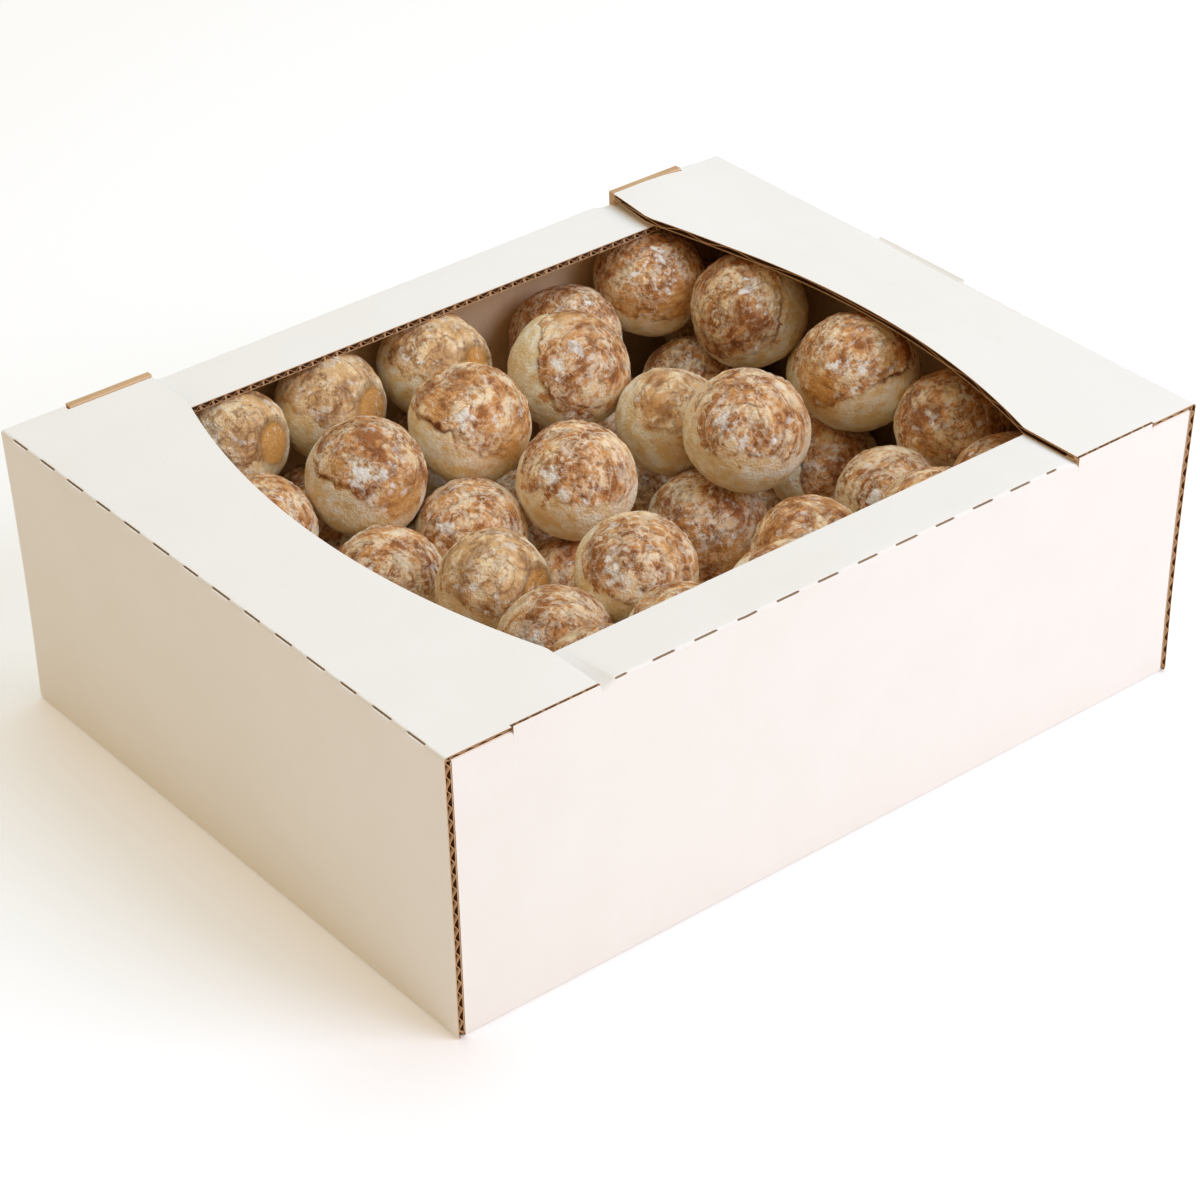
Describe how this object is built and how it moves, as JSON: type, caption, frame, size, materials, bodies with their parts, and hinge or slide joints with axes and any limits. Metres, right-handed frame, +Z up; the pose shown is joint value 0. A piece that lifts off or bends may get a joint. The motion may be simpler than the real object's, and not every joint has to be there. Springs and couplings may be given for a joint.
{
  "type": "box of gingerbread",
  "caption": "Open-windowed white corrugated carton filled with a loose heap of round, glazed, crackle-crusted gingerbread.",
  "frame": {"origin": "middle of the underside of the carton's base", "axes": "+X along the carton's long side towards the narrower flap, +Y from the front wall to the back wall, +Z up through the window"},
  "size_m": [0.38, 0.295, 0.132],
  "materials": {
    "board": "matt white-faced corrugated board, with brown flutes at the cut edges and a brown kraft inside",
    "gingerbread": "matt crackled golden-brown crust with dry white sugar glaze, pale cream sides and underside"
  },
  "bodies": {
    "root": {"carton": "board", "heap": "gingerbread", "gingerbread_01": "gingerbread", "gingerbread_02": "gingerbread", "gingerbread_03": "gingerbread", "gingerbread_04": "gingerbread", "gingerbread_05": "gingerbread", "gingerbread_06": "gingerbread", "gingerbread_07": "gingerbread", "gingerbread_08": "gingerbread", "gingerbread_09": "gingerbread", "gingerbread_10": "gingerbread", "gingerbread_11": "gingerbread", "gingerbread_12": "gingerbread", "gingerbread_13": "gingerbread", "gingerbread_14": "gingerbread", "gingerbread_15": "gingerbread", "gingerbread_16": "gingerbread", "gingerbread_17": "gingerbread", "gingerbread_18": "gingerbread", "gingerbread_19": "gingerbread", "gingerbread_20": "gingerbread", "gingerbread_21": "gingerbread", "gingerbread_22": "gingerbread", "gingerbread_23": "gingerbread", "gingerbread_24": "gingerbread", "gingerbread_25": "gingerbread", "gingerbread_26": "gingerbread", "gingerbread_27": "gingerbread", "gingerbread_28": "gingerbread", "gingerbread_29": "gingerbread", "gingerbread_30": "gingerbread", "gingerbread_31": "gingerbread", "gingerbread_32": "gingerbread", "gingerbread_33": "gingerbread", "gingerbread_34": "gingerbread", "gingerbread_35": "gingerbread"}
  },
  "joints": []
}
